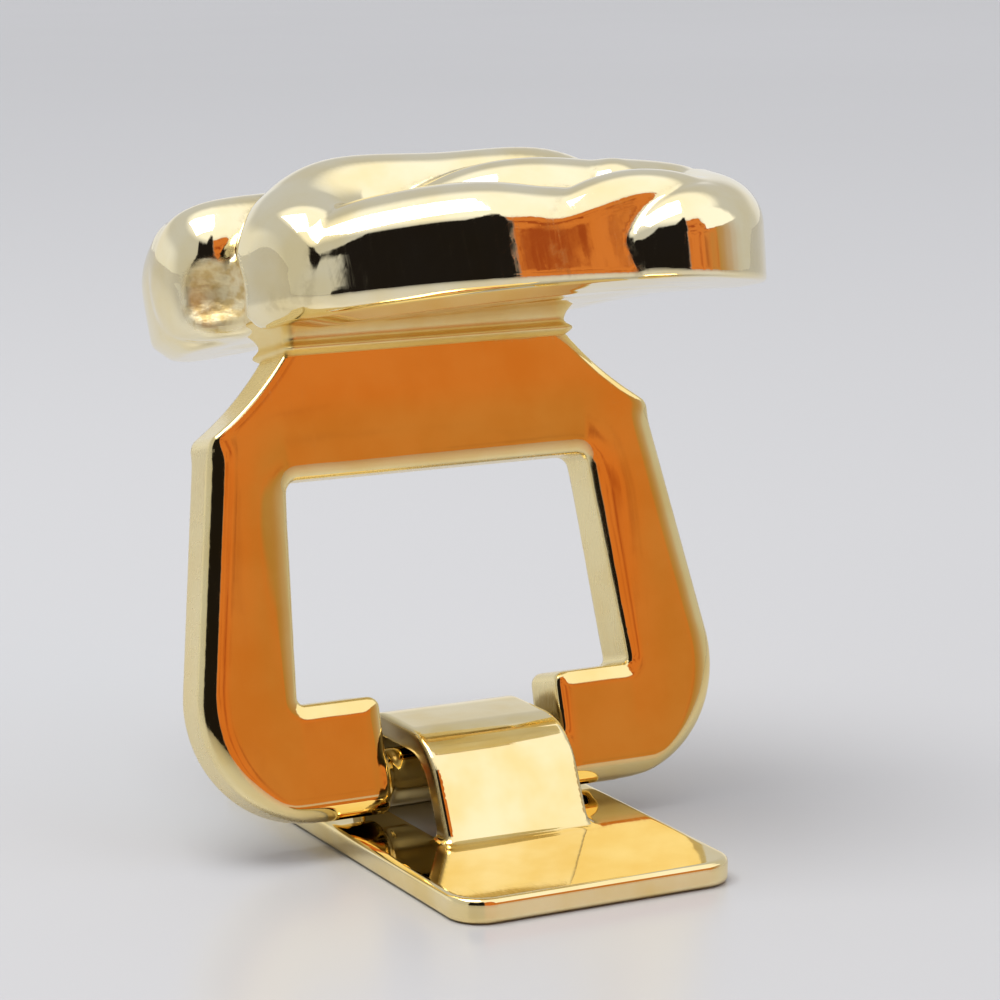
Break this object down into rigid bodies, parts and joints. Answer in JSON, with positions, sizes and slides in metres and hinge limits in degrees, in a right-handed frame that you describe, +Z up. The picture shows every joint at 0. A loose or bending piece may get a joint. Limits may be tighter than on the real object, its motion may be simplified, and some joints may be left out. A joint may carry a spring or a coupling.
{
  "type": "shirt stud",
  "caption": "Yellow-gold shirt stud: a domed knot of fat strands on a flat stirrup frame, hinged on a bar to a rectangular back plate with a raised strap.",
  "frame": {"origin": "middle of the back plate's flat underside, below the hinge bar", "axes": "+X along the hinge bar, -Y the front, +Z up from the plate to the knot"},
  "size_m": [0.0108, 0.0117, 0.0116],
  "materials": {
    "gold": "polished"
  },
  "bodies": {
    "backing": {"back_plate": "gold"},
    "stud": {"knot_and_frame": "gold"}
  },
  "joints": [
    {"name": "plate_swivel", "type": "hinge", "parent": "backing", "child": "stud", "pos_m": [0, 0, 0.00112], "axis": [1, 0, 0], "range_deg": [-75, 105]}
  ]
}
